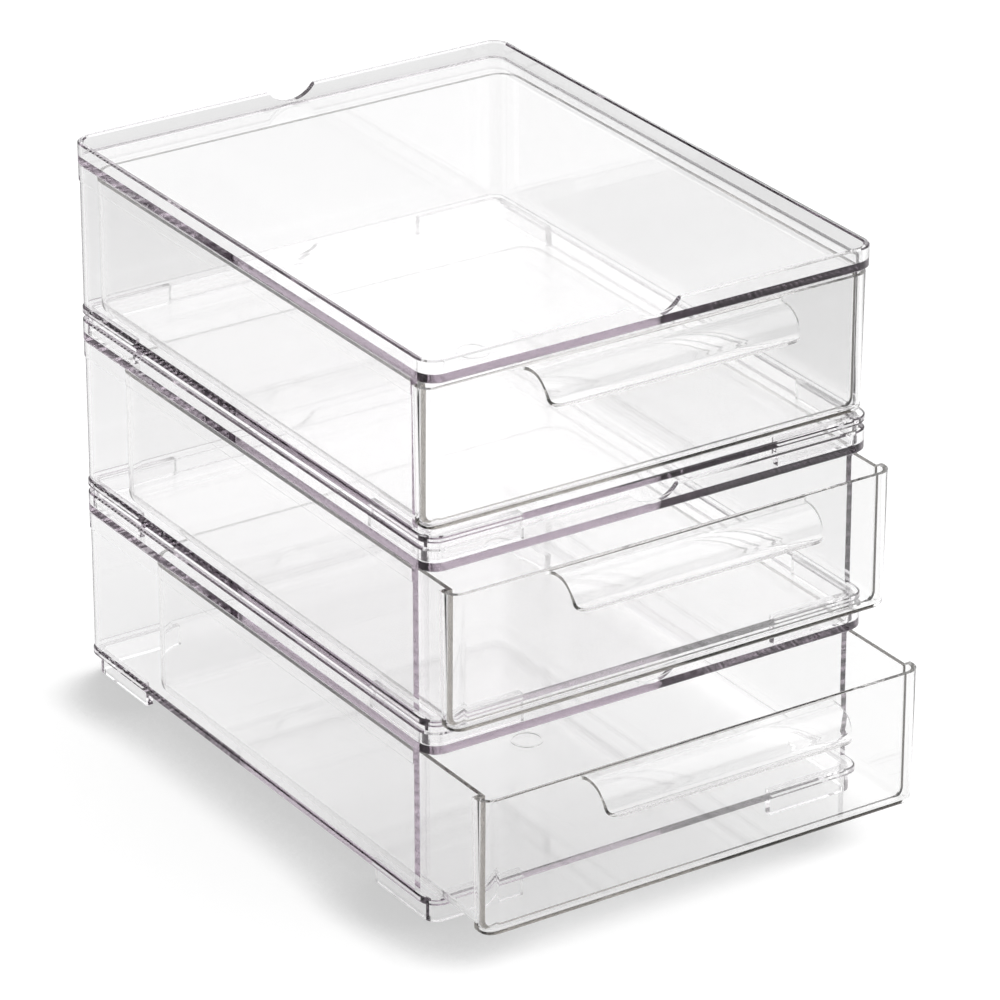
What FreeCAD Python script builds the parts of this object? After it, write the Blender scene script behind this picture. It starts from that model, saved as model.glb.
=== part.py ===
import FreeCAD, Part
import math
import os
import Sketcher

# Three clear stackable drawer units in one stack. Millimetres, +X right, +Y back, +Z up.
# Every unit is a case with four feet, a tray-shaped lid and a drawer with a curled pull.

doc = FreeCAD.newDocument("stackable_storage_drawer")
sheet = doc.addObject("Spreadsheet::Sheet", "dims")
noted = []


def dim(alias, content, note):
    noted.append(alias)
    row = len(noted)
    sheet.set("A%d" % row, note)
    sheet.set("B%d" % row, str(content))
    sheet.setAlias("B%d" % row, alias)


# Case, lid and feet
dim("case_wide", 200, "outline of lid and base across the front")
dim("case_deep", 258, "outline of lid and base from front to back")
dim("corner_round", 8.2, "plan radius of the outline's corners")
dim("stack_pitch", 75, "height that one unit adds to the stack")
dim("seat_gap", 0.05, "bond line under a lid, and the play under stacked feet")
dim("lid_thick", 3, "plate of the lid")
dim("lip_high", 6, "rim that stands up round the lid")
dim("lip_wall", 2.4, "thickness of that rim")
dim("lip_bevel", 0.6, "broken top edges of the rim")
dim("notch_round", 13, "radius of the finger notch at the middle of the rim")
dim("notch_sill", 0.4, "rim left under the notch")
dim("base_thick", 3, "base plate")
dim("plate_bevel", 0.5, "broken edges of base and lid plates")
dim("foot_high", 8.4, "feet under the base plate")
dim("foot_leg", 40, "each leg of an L-shaped foot")
dim("foot_wall", 3, "thickness of a foot")
dim("foot_clear", 0.5, "play between a foot and the rim it drops into")
dim("wall_inset", 0.5, "outer wall face behind the outline")
dim("wall_thick", 2.4, "side and back walls")
dim("band_high", 6.8, "thicker band at the top of the walls")
dim("band_step", 0.4, "how far that band stands out")
dim("ledge_deep", 11, "base and lid in front of the side walls")

# Drawer
dim("front_recess", 2.7, "drawer front behind the lid's front edge when closed")
dim("nose_inset", 0.5, "side of the wrap-round front at its rim behind the case outline")
dim("nose_draft", 1, "how much each side of the front leans in towards the bottom")
dim("nose_gap", 1, "drawer front above the base ledge")
dim("nose_turn", 0.75, "plan radius of the front's corners as a share of its depth")
dim("nose_round", 2, "lower edges of the front")
dim("side_clear", 0.4, "play between tub and side wall")
dim("slide_gap", 0.3, "play between tub and base, and between front and wall edges")
dim("rim_gap", 3, "drawer rim below the lid")
dim("tub_wall", 1.8, "drawer wall and floor")
dim("tub_space", 8.1, "space behind a closed drawer")
dim("tub_corner", 10, "rear corners of the tub in plan")
dim("tub_round", 5, "edge between the tub's walls and floor")
dim("mark_round", 6.5, "ring mark of the moulding at the middle of the tub floor")
dim("mark_wide", 0.8, "width of that ring")
dim("mark_high", 0.3, "height of that ring")

# Pull
dim("pull_wide", 112, "pull from end to end")
dim("pull_out", 18.2, "how far the pull stands out from the front")
dim("pull_flat", 4.5, "level part of the pull next to the front")
dim("pull_drop", 10.6, "how far the pull hangs down")
dim("pull_thick", 1.4, "sheet of the pull")
dim("pull_bend", 11, "outer radius of the downward bend")
dim("pull_curl", 2.2, "hollow radius of the turned-out lower lip")
dim("pull_corner", 6, "plan radius at the ends of the lower lip")
dim("pull_root", 3, "plan radius between the front and the ends of the pull")

# Drawers as the stack stands
dim("middle_open", 17.5, "opening of the middle drawer")
dim("lower_open", 39, "opening of the lower drawer")

# Lines that follow from the sizes above
dim("half_wide", "=case_wide / 2", "side of the outline")
dim("half_deep", "=case_deep / 2", "front and back of the outline")
dim("base_top", "=foot_high + base_thick", "top of the base plate")
dim("lid_low", "=stack_pitch - seat_gap - lid_thick", "underside of the lid")
dim("lid_top", "=lid_low + lid_thick + lip_high", "top of the lid's rim")
dim("wall_top", "=lid_low - seat_gap", "top of the walls")
dim("wall_side", "=half_wide - wall_inset", "outer face of a side wall")
dim("wall_rear", "=half_deep - wall_inset", "outer face of the back wall")
dim("wall_front", "=half_deep - ledge_deep", "front edges of the side walls, forwards")
dim("foot_side", "=half_wide - lip_wall - foot_clear", "outer face of a foot, sideways")
dim("foot_end", "=half_deep - lip_wall - foot_clear", "outer face of a foot, front or back")
dim("rim", "=lid_low - rim_gap", "drawer rim")
dim("tub_low", "=base_top + slide_gap", "underside of the tub")
dim("tub_side", "=wall_side - wall_thick - side_clear", "outer face of the tub")
dim("tub_rear", "=wall_rear - wall_thick - tub_space", "back of the tub, closed")
dim("front_face", "=half_deep - front_recess", "drawer front, forwards, closed")
dim("nose_side", "=half_wide - nose_inset", "side of the wrap-round front at its rim")
dim("jog_face", "=wall_front + slide_gap", "rear of the wrap-round front, forwards, closed")
dim("nose_low", "=base_top + nose_gap", "lower edge of the drawer front")
dim("nose_corner", "=nose_turn * (front_face - jog_face)", "plan radius of the front's corners")
dim("hollow_corner", "=0.9 * (nose_corner - tub_wall)", "the same corners on the inside")
doc.recompute()


def size(alias):
    return float(sheet.get(alias))


def sketch(body, name, role, offset):
    made = body.newObject("Sketcher::SketchObject", name)
    plane = [f for f in body.Origin.OriginFeatures if f.Role == role][0]
    made.AttachmentSupport = [(plane, "")]
    made.MapMode = "FlatFace"
    made.setExpression(".AttachmentOffset.Base.z", offset)
    return made


def evaluate(text):
    return float(sheet.evalExpression(text))


def hold(made, kind, first, first_end, second, second_end, text):
    number = made.addConstraint(
        Sketcher.Constraint(kind, first, first_end, second, second_end, evaluate(text))
    )
    made.setExpression("Constraints[%d]" % number, bound(text))


def bound(text):
    words = []
    for word in text.split():
        words.append("dims." + word if word in noted else word)
    return " ".join(words)


def outline(made, corners):
    # Closed outline of straight lines; each corner is held by its two distances from the origin
    points = []
    for across, along in corners:
        points.append(FreeCAD.Vector(evaluate(across), evaluate(along), 0))
    lines = []
    for here, there in zip(points, points[1:] + points[:1]):
        lines.append(made.addGeometry(Part.LineSegment(here, there), False))
    for here, after in zip(lines, lines[1:] + lines[:1]):
        made.addConstraint(Sketcher.Constraint("Coincident", here, 2, after, 1))
    for here, (across, along) in zip(lines, corners):
        hold(made, "DistanceX", -1, 1, here, 1, across)
        hold(made, "DistanceY", -1, 1, here, 1, along)


def box_outline(made, side, front, back):
    left = "0 - ( " + side + " )"
    outline(made, [(left, front), (side, front), (side, back), (left, back)])


def lean_outline(made, half, lean, top, bottom):
    # Four straight lines, the sides leaning in by lean towards the bottom
    foot = half + " - " + lean
    left, left_foot = "0 - ( " + half + " )", "0 - ( " + foot + " )"
    outline(made, [(left_foot, bottom), (foot, bottom), (half, top), (left, top)])


def bay_outline(made, half, open_end, round_end, radius):
    # Straight at the open end, two rounded corners at the other
    wide = evaluate(half)
    start_y = evaluate(open_end)
    end_y = evaluate(round_end)
    turn = evaluate(radius)
    down = end_y < start_y
    knee = end_y + turn if down else end_y - turn
    left_turn = math.pi if down else math.pi / 2
    right_turn = 1.5 * math.pi if down else 0
    sides = []
    for side, first in ((-1, left_turn), (1, right_turn)):
        tip = FreeCAD.Vector(side * wide, start_y, 0)
        bent = FreeCAD.Vector(side * wide, knee, 0)
        run = made.addGeometry(Part.LineSegment(tip, bent), False)
        middle = FreeCAD.Vector(side * (wide - turn), knee, 0)
        ring = Part.Circle(middle, FreeCAD.Vector(0, 0, 1), turn)
        bend = made.addGeometry(Part.ArcOfCircle(ring, first, first + math.pi / 2), False)
        sides.append((run, bend))
    (left, left_bend), (right, right_bend) = sides
    one = FreeCAD.Vector(turn - wide, end_y, 0)
    two = FreeCAD.Vector(wide - turn, end_y, 0)
    closing = made.addGeometry(Part.LineSegment(one, two), False)
    one = FreeCAD.Vector(wide, start_y, 0)
    two = FreeCAD.Vector(-wide, start_y, 0)
    opening = made.addGeometry(Part.LineSegment(one, two), False)
    made.addConstraint(Sketcher.Constraint("Coincident", opening, 1, right, 1))
    made.addConstraint(Sketcher.Constraint("Coincident", opening, 2, left, 1))
    at_left, at_right = (1, 2) if down else (2, 1)
    made.addConstraint(Sketcher.Constraint("Tangent", left, 2, left_bend, at_left))
    made.addConstraint(Sketcher.Constraint("Tangent", left_bend, 3 - at_left, closing, 1))
    made.addConstraint(Sketcher.Constraint("Tangent", closing, 2, right_bend, 3 - at_right))
    made.addConstraint(Sketcher.Constraint("Tangent", right_bend, at_right, right, 2))
    made.addConstraint(Sketcher.Constraint("Horizontal", closing))
    made.addConstraint(Sketcher.Constraint("Equal", left_bend, right_bend))
    hold(made, "DistanceX", -1, 1, left, 1, "0 - ( " + half + " )")
    hold(made, "DistanceX", -1, 1, right, 1, half)
    hold(made, "DistanceY", -1, 1, left, 1, open_end)
    hold(made, "DistanceY", -1, 1, right, 1, open_end)
    made.addConstraint(Sketcher.Constraint("Vertical", left))
    made.addConstraint(Sketcher.Constraint("Vertical", right))
    hold(made, "DistanceY", -1, 1, closing, 1, round_end)
    number = made.addConstraint(Sketcher.Constraint("Radius", left_bend, turn))
    made.setExpression("Constraints[%d]" % number, bound(radius))


def arc(made, centre, radius, first, last):
    ring = Part.Circle(FreeCAD.Vector(centre[0], centre[1], 0), FreeCAD.Vector(0, 0, 1), radius)
    return made.addGeometry(Part.ArcOfCircle(ring, first, last), False)


def line(made, one, two):
    ends = (FreeCAD.Vector(one[0], one[1], 0), FreeCAD.Vector(two[0], two[1], 0))
    return made.addGeometry(Part.LineSegment(*ends), False)


def radius_of(made, bend, text):
    number = made.addConstraint(Sketcher.Constraint("Radius", bend, evaluate(text)))
    made.setExpression("Constraints[%d]" % number, bound(text))


def pull_outline(made):
    # Side view of the pull: level, bent down, then turned out again, at one sheet thickness
    root = "0 - front_face + tub_wall"
    turn = "0 - front_face - pull_flat"
    tip = "0 - front_face - pull_out"
    lip = "rim - pull_drop + pull_thick"
    root_y, turn_y, tip_y, lip_z = evaluate(root), evaluate(turn), evaluate(tip), evaluate(lip)
    rim, thick = size("rim"), size("pull_thick")
    bend, curl = size("pull_bend"), size("pull_curl")
    bend_mid = (turn_y, rim - bend)
    rise = lip_z + curl - bend_mid[1]
    curl_mid = (turn_y - math.sqrt((bend + curl) ** 2 - rise ** 2), lip_z + curl)
    lean = math.asin(rise / (bend + curl))
    down = 1.5 * math.pi
    chain = [line(made, (root_y, rim), (turn_y, rim))]
    chain.append(arc(made, bend_mid, bend, math.pi / 2, math.pi - lean))
    chain.append(arc(made, curl_mid, curl, down, 2 * math.pi - lean))
    chain.append(line(made, (curl_mid[0], lip_z), (tip_y, lip_z)))
    chain.append(line(made, (tip_y, lip_z), (tip_y, lip_z - thick)))
    chain.append(line(made, (tip_y, lip_z - thick), (curl_mid[0], lip_z - thick)))
    chain.append(arc(made, curl_mid, curl + thick, down, 2 * math.pi - lean))
    chain.append(arc(made, bend_mid, bend - thick, math.pi / 2, math.pi - lean))
    chain.append(line(made, (turn_y, rim - thick), (root_y, rim - thick)))
    chain.append(line(made, (root_y, rim - thick), (root_y, rim)))
    top, over, under, lip_top, edge, lip_low, under_low, over_low, top_low, back = chain
    for one, one_end, two, two_end in (
        (top, 2, over, 1),
        (over, 2, under, 2),
        (under, 1, lip_top, 1),
        (lip_low, 2, under_low, 1),
        (under_low, 2, over_low, 2),
        (over_low, 1, top_low, 1),
    ):
        made.addConstraint(Sketcher.Constraint("Tangent", one, one_end, two, two_end))
    for one, two in ((lip_top, edge), (edge, lip_low), (top_low, back), (back, top)):
        made.addConstraint(Sketcher.Constraint("Coincident", one, 2, two, 1))
    for level_line in (top, lip_top):
        made.addConstraint(Sketcher.Constraint("Horizontal", level_line))
    for upright_line in (edge, back):
        made.addConstraint(Sketcher.Constraint("Vertical", upright_line))
    made.addConstraint(Sketcher.Constraint("Coincident", over, 3, over_low, 3))
    made.addConstraint(Sketcher.Constraint("Coincident", under, 3, under_low, 3))
    hold(made, "DistanceX", -1, 1, top, 1, root)
    hold(made, "DistanceY", -1, 1, top, 1, "rim")
    hold(made, "DistanceX", -1, 1, over, 3, turn)
    hold(made, "DistanceX", -1, 1, lip_top, 2, tip)
    hold(made, "DistanceY", -1, 1, lip_top, 2, lip)
    radius_of(made, over, "pull_bend")
    radius_of(made, under, "pull_curl")
    radius_of(made, over_low, "pull_bend - pull_thick")


def corner_outline(made, side):
    # Waste outside one rounded end of the pull's lower lip, seen from above
    across = str(side) + " * ( pull_wide / 2 - pull_corner )"
    along = "0 - front_face - pull_out + pull_corner"
    beyond = str(side) + " * ( pull_wide / 2 + pull_corner )"
    ahead = "0 - front_face - pull_out - pull_corner"
    x, y, far_x, far_y = evaluate(across), evaluate(along), evaluate(beyond), evaluate(ahead)
    turn = size("pull_corner")
    first = 1.5 * math.pi if side > 0 else math.pi
    bend = arc(made, (x, y), turn, first, first + math.pi / 2)
    side_end, tip_end = (2, 1) if side > 0 else (1, 2)
    one = line(made, (x + side * turn, y), (far_x, y))
    two = line(made, (far_x, y), (far_x, far_y))
    three = line(made, (far_x, far_y), (x, far_y))
    four = line(made, (x, far_y), (x, y - turn))
    for here, there in ((one, two), (two, three), (three, four)):
        made.addConstraint(Sketcher.Constraint("Coincident", here, 2, there, 1))
    made.addConstraint(Sketcher.Constraint("Coincident", bend, side_end, one, 1))
    made.addConstraint(Sketcher.Constraint("Coincident", four, 2, bend, tip_end))
    for level_line in (one, three):
        made.addConstraint(Sketcher.Constraint("Horizontal", level_line))
    for upright_line in (two, four):
        made.addConstraint(Sketcher.Constraint("Vertical", upright_line))
    made.addConstraint(Sketcher.Constraint("Horizontal", bend, 3, bend, side_end))
    made.addConstraint(Sketcher.Constraint("Vertical", bend, 3, bend, tip_end))
    hold(made, "DistanceX", -1, 1, bend, 3, across)
    hold(made, "DistanceY", -1, 1, bend, 3, along)
    hold(made, "DistanceX", -1, 1, two, 2, beyond)
    hold(made, "DistanceY", -1, 1, two, 2, ahead)
    radius_of(made, bend, "pull_corner")


def root_outline(made, side):
    # Rounded root between the drawer front and one end of the pull, seen from above
    across = str(side) + " * ( pull_wide / 2 + pull_root )"
    along = "0 - front_face - pull_root"
    within = str(side) + " * ( pull_wide / 2 - tub_wall / 2 )"
    behind = "0 - front_face + tub_wall / 2"
    x, y, near_x, far_y = evaluate(across), evaluate(along), evaluate(within), evaluate(behind)
    turn = size("pull_root")
    first = math.pi / 2 if side > 0 else 0
    bend = arc(made, (x, y), turn, first, first + math.pi / 2)
    pull_end, front_end = (2, 1) if side > 0 else (1, 2)
    one = line(made, (x, y + turn), (x, far_y))
    two = line(made, (x, far_y), (near_x, far_y))
    three = line(made, (near_x, far_y), (near_x, y))
    four = line(made, (near_x, y), (x - side * turn, y))
    for here, there in ((one, two), (two, three), (three, four)):
        made.addConstraint(Sketcher.Constraint("Coincident", here, 2, there, 1))
    made.addConstraint(Sketcher.Constraint("Coincident", bend, front_end, one, 1))
    made.addConstraint(Sketcher.Constraint("Coincident", four, 2, bend, pull_end))
    for level_line in (two, four):
        made.addConstraint(Sketcher.Constraint("Horizontal", level_line))
    for upright_line in (one, three):
        made.addConstraint(Sketcher.Constraint("Vertical", upright_line))
    made.addConstraint(Sketcher.Constraint("Horizontal", bend, 3, bend, pull_end))
    made.addConstraint(Sketcher.Constraint("Vertical", bend, 3, bend, front_end))
    hold(made, "DistanceX", -1, 1, bend, 3, across)
    hold(made, "DistanceY", -1, 1, bend, 3, along)
    hold(made, "DistanceX", -1, 1, two, 2, within)
    hold(made, "DistanceY", -1, 1, two, 2, behind)
    radius_of(made, bend, "pull_root")


def ring_outline(made, along, outer, inner):
    # Two circles round one point on the middle line
    middle = FreeCAD.Vector(0, evaluate(along), 0)
    rings = []
    for radius in (outer, inner):
        ring = Part.Circle(middle, FreeCAD.Vector(0, 0, 1), evaluate(radius))
        rings.append(made.addGeometry(ring, False))
        radius_of(made, rings[-1], radius)
    made.addConstraint(Sketcher.Constraint("PointOnObject", rings[0], 3, -2))
    made.addConstraint(Sketcher.Constraint("Coincident", rings[0], 3, rings[1], 3))
    hold(made, "DistanceY", -1, 1, rings[0], 3, along)


def grow(body, name, made, length, kind="PartDesign::Pad"):
    feature = body.newObject(kind, name)
    feature.Profile = made
    feature.setExpression("Length", bound(length))
    doc.recompute()
    return feature


def cut(body, name, made, length):
    return grow(body, name, made, length, "PartDesign::Pocket")


def edges_where(base, test):
    names = []
    for number, edge in enumerate(base.Shape.Edges):
        if test(edge.Vertexes[0].Point, edge.Vertexes[-1].Point, edge):
            names.append("Edge%d" % (number + 1))
    return names


def soften(body, name, base, radius, test):
    feature = body.newObject("PartDesign::Fillet", name)
    feature.Base = (base, edges_where(base, test))
    feature.setExpression("Radius", bound(radius))
    doc.recompute()
    return feature


def bevel(body, name, base, width, test):
    feature = body.newObject("PartDesign::Chamfer", name)
    feature.Base = (base, edges_where(base, test))
    feature.setExpression("Size", bound(width))
    doc.recompute()
    return feature


def near(one, two):
    return abs(one - two) < 0.02


def upright(side, ends, low):
    # Standing edges at a distance from the middle plane, at one of some depths, from a height up
    def test(a, b, edge):
        stands = near(a.x, b.x) and near(a.y, b.y) and not near(a.z, b.z)
        placed = near(abs(a.x), side) and any(near(a.y, e) for e in ends)
        return stands and placed and near(min(a.z, b.z), low)
    return test


def standing(depth):
    # The two long edges that stand or lean at one depth, on the left and on the right
    def test(a, b, edge):
        placed = near(a.y, depth) and near(b.y, depth)
        return placed and abs(a.z - b.z) > 10 * abs(a.x - b.x) and abs(a.z - b.z) > 1
    return test


def level(height):
    # Every edge that lies at one height
    def test(a, b, edge):
        box = edge.BoundBox
        return near(box.ZMin, height) and near(box.ZMax, height)
    return test


def start(name):
    body = doc.addObject("PartDesign::Body", name)
    body.Label = name
    return body


def make_case(name, level_text):
    body = start(name)
    plan = sketch(body, name + "_base_plan", "XY_Plane", bound("foot_high"))
    box_outline(plan, "half_wide", "0 - half_deep", "half_deep")
    base = grow(body, name + "_base", plan, "base_thick")
    ends = (-size("half_deep"), size("half_deep"))
    corners = upright(size("half_wide"), ends, size("foot_high"))
    base = soften(body, name + "_base_corners", base, "corner_round", corners)
    base = bevel(body, name + "_base_lower_edge", base, "plate_bevel", level(size("foot_high")))
    bevel(body, name + "_base_upper_edge", base, "plate_bevel", level(size("base_top")))

    plan = sketch(body, name + "_wall_plan", "XY_Plane", bound("base_top"))
    turn = "corner_round - wall_inset"
    bay_outline(plan, "wall_side", "0 - wall_front", "wall_rear", turn)
    grow(body, name + "_wall", plan, "wall_top - base_top - band_high")
    plan = sketch(body, name + "_band_plan", "XY_Plane", bound("wall_top - band_high"))
    rear = "wall_rear + band_step"
    bay_outline(plan, "wall_side + band_step", "0 - wall_front", rear, turn + " + band_step")
    grow(body, name + "_band", plan, "band_high")
    plan = sketch(body, name + "_inside_plan", "XY_Plane", bound("wall_top"))
    side = "wall_side - wall_thick"
    bay_outline(plan, side, "0 - half_deep", "wall_rear - wall_thick", turn + " - wall_thick")
    cut(body, name + "_inside", plan, "wall_top - base_top")

    plan = sketch(body, name + "_feet_plan", "XY_Plane", "0")
    for across in ("1 * ", "-1 * "):
        for along in ("1 * ", "-1 * "):
            outer_x = across + "foot_side"
            inner_x = across + "( foot_side - foot_wall )"
            tip_x = across + "( foot_side - foot_leg )"
            outer_y = along + "foot_end"
            inner_y = along + "( foot_end - foot_wall )"
            tip_y = along + "( foot_end - foot_leg )"
            bend = [(outer_x, outer_y), (tip_x, outer_y), (tip_x, inner_y)]
            bend += [(inner_x, inner_y), (inner_x, tip_y), (outer_x, tip_y)]
            outline(plan, bend)
    feet = grow(body, name + "_feet", plan, "foot_high")
    ends = (-size("foot_end"), size("foot_end"))
    round_over = "corner_round - lip_wall - foot_clear"
    feet = soften(body, name + "_feet_corners", feet, round_over, upright(size("foot_side"), ends, 0))
    inset = size("foot_wall")
    ends = (inset - size("foot_end"), size("foot_end") - inset)
    corners = upright(size("foot_side") - inset, ends, 0)
    soften(body, name + "_feet_hollows", feet, round_over + " - foot_wall", corners)
    body.setExpression(".Placement.Base.z", bound(level_text))
    return body


def make_lid(name, level_text):
    body = start(name)
    plan = sketch(body, name + "_plan", "XY_Plane", bound("lid_low"))
    box_outline(plan, "half_wide", "0 - half_deep", "half_deep")
    slab = grow(body, name + "_slab", plan, "lid_thick + lip_high")
    plan = sketch(body, name + "_tray_plan", "XY_Plane", bound("lid_top"))
    box_outline(plan, "half_wide - lip_wall", "0 - ( half_deep - lip_wall )", "half_deep - lip_wall")
    tray = cut(body, name + "_tray", plan, "lip_high")
    inset = size("lip_wall")
    ends = (inset - size("half_deep"), size("half_deep") - inset)
    corners = upright(size("half_wide") - inset, ends, size("lid_low") + size("lid_thick"))
    tray = soften(body, name + "_tray_corners", tray, "corner_round - lip_wall", corners)
    ends = (-size("half_deep"), size("half_deep"))
    corners = upright(size("half_wide"), ends, size("lid_low"))
    tray = soften(body, name + "_corners", tray, "corner_round", corners)
    tray = bevel(body, name + "_lower_edge", tray, "plate_bevel", level(size("lid_low")))
    bevel(body, name + "_lip_edges", tray, "lip_bevel", level(size("lid_top")))

    view = sketch(body, name + "_notch_view", "XZ_Plane", bound("half_deep + lip_wall"))
    height = "lid_low + lid_thick + notch_sill + notch_round"
    middle = FreeCAD.Vector(0, evaluate(height), 0)
    ring = Part.Circle(middle, FreeCAD.Vector(0, 0, 1), size("notch_round"))
    view.addGeometry(ring, False)
    view.addConstraint(Sketcher.Constraint("PointOnObject", 0, 3, -2))
    hold(view, "DistanceY", -1, 1, 0, 3, height)
    number = view.addConstraint(Sketcher.Constraint("Radius", 0, size("notch_round")))
    view.setExpression("Constraints[%d]" % number, bound("notch_round"))
    cut(body, name + "_notches", view, "case_deep + 2 * lip_wall")
    body.setExpression(".Placement.Base.z", bound(level_text))
    return body


def make_drawer(name, level_text, opening):
    body = start(name)
    plan = sketch(body, name + "_tub_plan", "XY_Plane", bound("tub_low"))
    bay_outline(plan, "tub_side", "0 - jog_face", "tub_rear", "tub_corner")
    tub = grow(body, name + "_tub", plan, "rim - tub_low")
    jog = -size("jog_face")

    def underside(a, b, edge):
        return level(size("tub_low"))(a, b, edge) and not (near(a.y, jog) and near(b.y, jog))

    tub = soften(body, name + "_tub_lower_edge", tub, "tub_round", underside)

    view = sketch(body, name + "_front_view", "XZ_Plane", bound("jog_face"))
    lean_outline(view, "nose_side", "nose_draft", "rim", "nose_low")
    nose = grow(body, name + "_front", view, "front_face - jog_face")
    corners = standing(-size("front_face"))
    nose = soften(body, name + "_front_corners", nose, "nose_corner", corners)

    def lower_edge(a, b, edge):
        return level(size("nose_low"))(a, b, edge) and not (near(a.y, jog) and near(b.y, jog))

    soften(body, name + "_front_lower_edge", nose, "nose_round", lower_edge)

    plan = sketch(body, name + "_inside_plan", "XY_Plane", bound("rim"))
    front = "0 - ( jog_face + tub_wall )"
    turn = "tub_corner - tub_wall"
    bay_outline(plan, "tub_side - tub_wall", front, "tub_rear - tub_wall", turn)
    tub = cut(body, name + "_inside", plan, "rim - tub_low - tub_wall")
    floor = size("tub_low") + size("tub_wall")
    step = jog - size("tub_wall")

    def floor_edge(a, b, edge):
        return level(floor)(a, b, edge) and not (near(a.y, step) and near(b.y, step))

    soften(body, name + "_inside_floor", tub, "tub_round - tub_wall / 2", floor_edge)

    plan = sketch(body, name + "_hollow_plan", "XY_Plane", bound("rim"))
    half = "nose_side - tub_wall - nose_draft / 2"
    bay_outline(plan, half, front, "0 - ( front_face - tub_wall )", "hollow_corner")
    hollow = cut(body, name + "_hollow", plan, "rim - tub_low - tub_wall")

    def hollow_edge(a, b, edge):
        ahead = min(a.y, b.y) < step - 0.02 and max(a.y, b.y) < step + 0.02
        return level(floor)(a, b, edge) and ahead

    soften(body, name + "_hollow_floor", hollow, "nose_round", hollow_edge)

    plan = sketch(body, name + "_mark_plan", "XY_Plane", bound("tub_low + tub_wall / 2"))
    ring_outline(plan, "( tub_rear - front_face ) / 2", "mark_round", "mark_round - mark_wide")
    grow(body, name + "_mark", plan, "tub_wall / 2 + mark_high")

    view = sketch(body, name + "_pull_view", "YZ_Plane", bound("0 - pull_wide / 2"))
    pull_outline(view)
    grow(body, name + "_pull", view, "pull_wide")
    plan = sketch(body, name + "_pull_roots_plan", "XY_Plane", bound("rim - pull_thick"))
    for side in (-1, 1):
        root_outline(plan, side)
    grow(body, name + "_pull_roots", plan, "pull_thick")
    plan = sketch(body, name + "_pull_ends_plan", "XY_Plane", bound("rim"))
    for side in (-1, 1):
        corner_outline(plan, side)
    cut(body, name + "_pull_ends", plan, "pull_drop + pull_thick")
    body.setExpression(".Placement.Base.z", bound(level_text))
    body.setExpression(".Placement.Base.y", bound("0 - " + opening))
    return body


bodies = []
for unit, level_text, opening in (
    ("lower", "0", "lower_open"),
    ("middle", "stack_pitch", "middle_open"),
    ("upper", "2 * stack_pitch", "0"),
):
    bodies.append(make_case(unit + "_case", level_text))
    bodies.append(make_lid(unit + "_lid", level_text))
    bodies.append(make_drawer(unit + "_drawer", level_text, opening))

doc.recompute()
faults = []
for thing in doc.Objects:
    if "Invalid" in thing.State or "Error" in thing.State:
        faults.append(thing.Name)
for body in bodies:
    if body.Shape.isNull() or not body.Shape.isValid() or len(body.Shape.Solids) != 1:
        faults.append(body.Label)
if faults:
    raise RuntimeError("not built: " + ", ".join(faults))

os.makedirs("parts", exist_ok=True)
for body in bodies:
    body.Shape.exportStep("parts/" + body.Label + ".step")
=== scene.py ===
import math

import bpy
from mathutils import Matrix, Vector

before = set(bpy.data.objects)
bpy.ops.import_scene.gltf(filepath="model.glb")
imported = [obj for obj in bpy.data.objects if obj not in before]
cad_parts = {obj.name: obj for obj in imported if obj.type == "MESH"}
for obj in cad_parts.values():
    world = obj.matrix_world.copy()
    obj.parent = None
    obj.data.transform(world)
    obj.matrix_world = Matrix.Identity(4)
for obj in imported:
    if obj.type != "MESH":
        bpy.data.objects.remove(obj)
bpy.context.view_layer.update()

WHITE = (1, 1, 1, 1)

# Camera: place in metres, turn left of the front, height above the object, lens and sensor in
# millimetres, how far it sees in metres
CAMERA_PLACE = (-1.13782, -1.76222, 1.09777)
CAMERA_AZIMUTH = math.radians(-33.209)
CAMERA_ELEVATION = math.radians(25.434)
CAMERA_LENS = 214.2
CAMERA_SENSOR = 36.0
CAMERA_REACH = 50.0

# Light runs far inside the clear walls, so it is followed through many of them
CLEAR_BOUNCES = 96
DULL_BOUNCES = 4
PASSED_SURFACES = 16

# Plastic: refraction, tint in depth of cases with lids and of drawers, density per metre
PLASTIC_IOR = 1.53
CASE_TINT = (0.26, 0.14, 0.25)
DRAWER_TINT = (0.26, 0.22, 0.17)
TINT_DENSITY = 5.0
# Polish marks: scale and detail, and the roughness of the dullest of them
POLISH_NOISE = (60.0, 3.0)
POLISH_ROUGHNESS = 0.03
# Ripples: scale and detail, strength, height in metres
RIPPLE_NOISE = (14.0, 1.0)
RIPPLE_STRENGTH = 0.04
RIPPLE_HEIGHT = 0.001

# Floor: side, depth under the feet and roughness, then the share of light that it scatters and the
# light that it gives, for rays in the plastic and for the camera
FLOOR_SIDE = 8.0
FLOOR_DROP = 0.0003
FLOOR_ROUGHNESS = 0.9
FLOOR_AROUND = (0.52, 0.71)
FLOOR_SEEN = (0.35, 0.85)
# Painted contact shade close to the object, an occlusion term that darkens the floor's light: the
# side that it is looked for on, reach, share of the open sky over which it fades, share of the
# light that the deepest of it leaves, rays that look for it
SHADE_WAY = (0.985, 0.13, 0.11)
SHADE_REACH = 0.04
SHADE_SKY = (0.54, 0.82)
SHADE_SHARE = 0.62
SHADE_RAYS = 16
# Painted shade: a dark patch on the floor on the left behind the object, in reflections and for
# light that has
# run far in the plastic: direction, distances and bounces over which it sets in, share of the
# light that it leaves
PAINTED_DARK_WAY = (-0.894, 0.447, 0.0)
PAINTED_DARK_REACH = (0.10, 0.20)
PAINTED_DARK_BOUNCES = (8.0, 16.0)
PAINTED_DARK_SHARE = 0.10
# Painted pool of light on the floor: direction, distances over which it rises and falls, share of
# the light before and after it
POOL_WAY = (0.548, 0.837, 0.0)
POOL_RISE = (-0.14, 0.0)
POOL_FALL = (0.10, 0.70)
POOL_SHARES = (0.82, 0.76)
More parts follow.
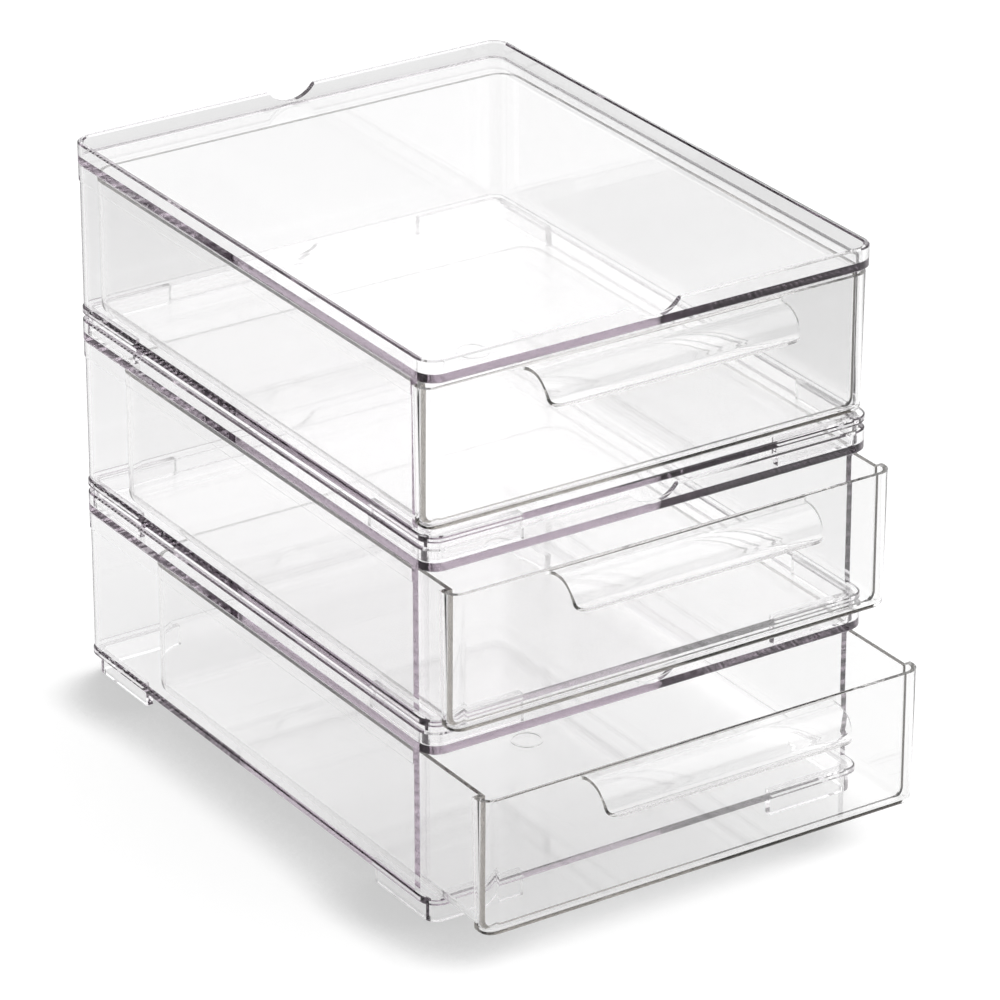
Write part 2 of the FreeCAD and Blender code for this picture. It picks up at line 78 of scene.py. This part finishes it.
# Painted dim floor in front of the object, in reflections alone: distances over which it ends,
# share of the light that it leaves
DIM_REACH = (-0.35, -0.05)
DIM_SHARE = 0.40

# World: direction and brightness of the soft lights behind the object and to its right, nearness to
# that direction over which they set in
SOFT_LIGHTS = (((0.495, 0.756, 0.430), 1.44), ((0.600, -0.250, 0.760), 1.76))
SOFT_EDGE = (0.80, 0.95)
# Brightness of the room, of its low walls and of its ceiling, and the heights over which they meet
ROOM = 0.32
WALLS = 0.70
WALLS_EDGE = (0.28, 0.40)
CEILING = 0.48
CEILING_EDGE = (0.45, 0.75)
# Dark corner of the room: brightness, direction, nearness to it over which it sets in
CORNER = 0.03
CORNER_WAY = (-0.548, 0.837, 0.0)
CORNER_EDGE = (0.50, 0.85)
# What the camera sees of the world
BACKDROP = 1.0

scene = bpy.context.scene
scene.view_settings.view_transform = "Standard"
scene.cycles.max_bounces = CLEAR_BOUNCES
scene.cycles.transmission_bounces = CLEAR_BOUNCES
scene.cycles.glossy_bounces = CLEAR_BOUNCES
scene.cycles.diffuse_bounces = DULL_BOUNCES
scene.cycles.volume_bounces = 0
scene.cycles.transparent_max_bounces = PASSED_SURFACES


def feed(links, socket, level):
    """Sets a socket to a number, or links it to another node's output."""
    if isinstance(level, float):
        socket.default_value = level
    else:
        links.new(level, socket)


def noise(nodes, links, place, scale, detail):
    """Soft noise over a piece."""
    made = nodes.new("ShaderNodeTexNoise")
    made.inputs["Scale"].default_value = scale
    made.inputs["Detail"].default_value = detail
    links.new(place, made.inputs["Vector"])
    return made.outputs["Fac"]


def clear_plastic(name, tint):
    """Clear moulded plastic: slight ripples, fine polish marks and a tint that grows with depth."""
    made = bpy.data.materials.new(name)
    made.use_nodes = True
    nodes, links = made.node_tree.nodes, made.node_tree.links
    shader = nodes["Principled BSDF"]
    output = nodes["Material Output"]
    shader.inputs["Base Color"].default_value = WHITE
    shader.inputs["Transmission Weight"].default_value = 1.0
    shader.inputs["IOR"].default_value = PLASTIC_IOR
    place = nodes.new("ShaderNodeTexCoord").outputs["Object"]
    polish = nodes.new("ShaderNodeMapRange")
    polish.inputs["To Min"].default_value = 0.0
    polish.inputs["To Max"].default_value = POLISH_ROUGHNESS
    links.new(noise(nodes, links, place, *POLISH_NOISE), polish.inputs["Value"])
    links.new(polish.outputs["Result"], shader.inputs["Roughness"])
    ripple = nodes.new("ShaderNodeBump")
    ripple.inputs["Strength"].default_value = RIPPLE_STRENGTH
    ripple.inputs["Distance"].default_value = RIPPLE_HEIGHT
    links.new(noise(nodes, links, place, *RIPPLE_NOISE), ripple.inputs["Height"])
    links.new(ripple.outputs["Normal"], shader.inputs["Normal"])
    depth = nodes.new("ShaderNodeVolumeAbsorption")
    depth.inputs["Color"].default_value = (*tint, 1)
    depth.inputs["Density"].default_value = TINT_DENSITY
    links.new(depth.outputs["Volume"], output.inputs["Volume"])
    return made


def pick_by_ray(nodes, links, kind, others, chosen):
    """A number that differs between one kind of ray, such as the camera's, and the others."""
    pick = nodes.new("ShaderNodeMix")
    pick.data_type = "FLOAT"
    links.new(nodes.new("ShaderNodeLightPath").outputs[kind], pick.inputs["Factor"])
    feed(links, pick.inputs["A"], others)
    feed(links, pick.inputs["B"], chosen)
    return pick.outputs["Result"]


def ramp(nodes, links, value, start, end, first, last):
    """A smooth change from first to last while value goes from start to end."""
    made = nodes.new("ShaderNodeMapRange")
    made.interpolation_type = "SMOOTHSTEP"
    links.new(value, made.inputs["Value"])
    made.inputs["From Min"].default_value = start
    made.inputs["From Max"].default_value = end
    feed(links, made.inputs["To Min"], first)
    feed(links, made.inputs["To Max"], last)
    return made.outputs["Result"]


def along(nodes, links, vector, way):
    """How far a vector reaches in one direction."""
    made = nodes.new("ShaderNodeVectorMath")
    made.operation = "DOT_PRODUCT"
    links.new(vector, made.inputs[0])
    made.inputs[1].default_value = way
    return made.outputs["Value"]


def painted_pool_and_shade(nodes, links, level):
    """A level of light with the painted pool of light, the painted dark patch and, in reflections,
    the painted dim front.
    """
    place = nodes.new("ShaderNodeNewGeometry").outputs["Position"]
    bounces = nodes.new("ShaderNodeLightPath").outputs["Ray Depth"]
    back = along(nodes, links, place, POOL_WAY)
    before, after = (level * share for share in POOL_SHARES)
    # Painted pool of light: the floor's level rises and falls with position
    risen = ramp(nodes, links, back, *POOL_RISE, before, level)
    pool = ramp(nodes, links, back, *POOL_FALL, risen, after)
    side = along(nodes, links, place, PAINTED_DARK_WAY)
    # Painted shade: the floor darkens on the left behind the object, and for light that has run far
    dark = ramp(nodes, links, side, *PAINTED_DARK_REACH, pool, level * PAINTED_DARK_SHARE)
    deep = ramp(nodes, links, bounces, *PAINTED_DARK_BOUNCES, pool, dark)
    # Painted dim reflection: the floor in front is darker to reflection rays
    mirrored = ramp(nodes, links, back, *DIM_REACH, level * DIM_SHARE, dark)
    return pick_by_ray(nodes, links, "Is Reflection Ray", deep, mirrored)


def painted_contact_shade(nodes, links, level):
    """A level of light with painted shade from the object on the floor close by."""
    side = nodes.new("ShaderNodeCombineXYZ")
    for socket, part in zip(side.inputs, SHADE_WAY):
        socket.default_value = part
    sky = nodes.new("ShaderNodeAmbientOcclusion")
    sky.samples = SHADE_RAYS
    sky.inputs["Distance"].default_value = SHADE_REACH
    links.new(side.outputs["Vector"], sky.inputs["Normal"])
    # Painted shade: the floor's light drops where the occlusion term finds the object near
    return ramp(nodes, links, sky.outputs["AO"], *SHADE_SKY, level * SHADE_SHARE, level)


def floor_material():
    """Dull white that the camera sees with the painted contact shade, and other rays with the
    painted pool of light and dark patch.
    """
    made = bpy.data.materials.new("floor_white")
    made.use_nodes = True
    nodes, links = made.node_tree.nodes, made.node_tree.links
    nodes.clear()
    mix = nodes.new("ShaderNodeMixShader")
    links.new(nodes.new("ShaderNodeLightPath").outputs["Is Camera Ray"], mix.inputs["Fac"])
    for spot, levels, changed in ((1, FLOOR_AROUND, painted_pool_and_shade), (2, FLOOR_SEEN, painted_contact_shade)):
        shader = nodes.new("ShaderNodeBsdfPrincipled")
        shader.inputs["Roughness"].default_value = FLOOR_ROUGHNESS
        shader.inputs["Specular IOR Level"].default_value = 0.0
        shader.inputs["Emission Color"].default_value = WHITE
        for socket, level in zip(("Base Color", "Emission Strength"), levels):
            links.new(changed(nodes, links, level), shader.inputs[socket])
        links.new(shader.outputs["BSDF"], mix.inputs[spot])
    output = nodes.new("ShaderNodeOutputMaterial")
    links.new(mix.outputs["Shader"], output.inputs["Surface"])
    return made


def studio():
    """Soft lights, a ceiling, pale low walls and a room with a dark corner; white to the camera."""
    made = bpy.data.worlds.new("studio")
    made.use_nodes = True
    nodes, links = made.node_tree.nodes, made.node_tree.links
    nodes.clear()
    way = nodes.new("ShaderNodeTexCoord").outputs["Generated"]
    parts = nodes.new("ShaderNodeSeparateXYZ")
    links.new(way, parts.inputs[0])
    height = parts.outputs["Z"]
    corner = along(nodes, links, way, CORNER_WAY)
    room = ramp(nodes, links, corner, *CORNER_EDGE, ROOM, CORNER)
    walls = ramp(nodes, links, height, *WALLS_EDGE, WALLS, room)
    light = ramp(nodes, links, height, *CEILING_EDGE, walls, CEILING)
    for soft_way, bright in SOFT_LIGHTS:
        facing = along(nodes, links, way, soft_way)
        light = ramp(nodes, links, facing, *SOFT_EDGE, light, bright)
    back = nodes.new("ShaderNodeBackground")
    back.inputs["Color"].default_value = WHITE
    seen = pick_by_ray(nodes, links, "Is Camera Ray", light, BACKDROP)
    links.new(seen, back.inputs["Strength"])
    output = nodes.new("ShaderNodeOutputWorld")
    links.new(back.outputs["Background"], output.inputs["Surface"])
    return made


case_plastic = clear_plastic("clear_plastic_case", CASE_TINT)
drawer_plastic = clear_plastic("clear_plastic_drawer", DRAWER_TINT)
for name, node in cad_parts.items():
    node.material_slots[0].material = drawer_plastic if name.endswith("_drawer") else case_plastic

bpy.ops.mesh.primitive_plane_add(size=FLOOR_SIDE, location=(0, 0, -FLOOR_DROP))
floor = bpy.context.object
floor.name = "floor"
floor.data.materials.append(floor_material())

scene.world = studio()

camera = bpy.data.objects.new("camera", bpy.data.cameras.new("camera"))
scene.collection.objects.link(camera)
camera.data.lens = CAMERA_LENS
camera.data.sensor_width = CAMERA_SENSOR
camera.data.clip_end = CAMERA_REACH
turn = Matrix.Rotation(CAMERA_AZIMUTH, 4, "Z")
tilt = Matrix.Rotation(math.pi / 2 - CAMERA_ELEVATION, 4, "X")
camera.matrix_world = Matrix.Translation(Vector(CAMERA_PLACE)) @ (turn @ tilt)
scene.camera = camera
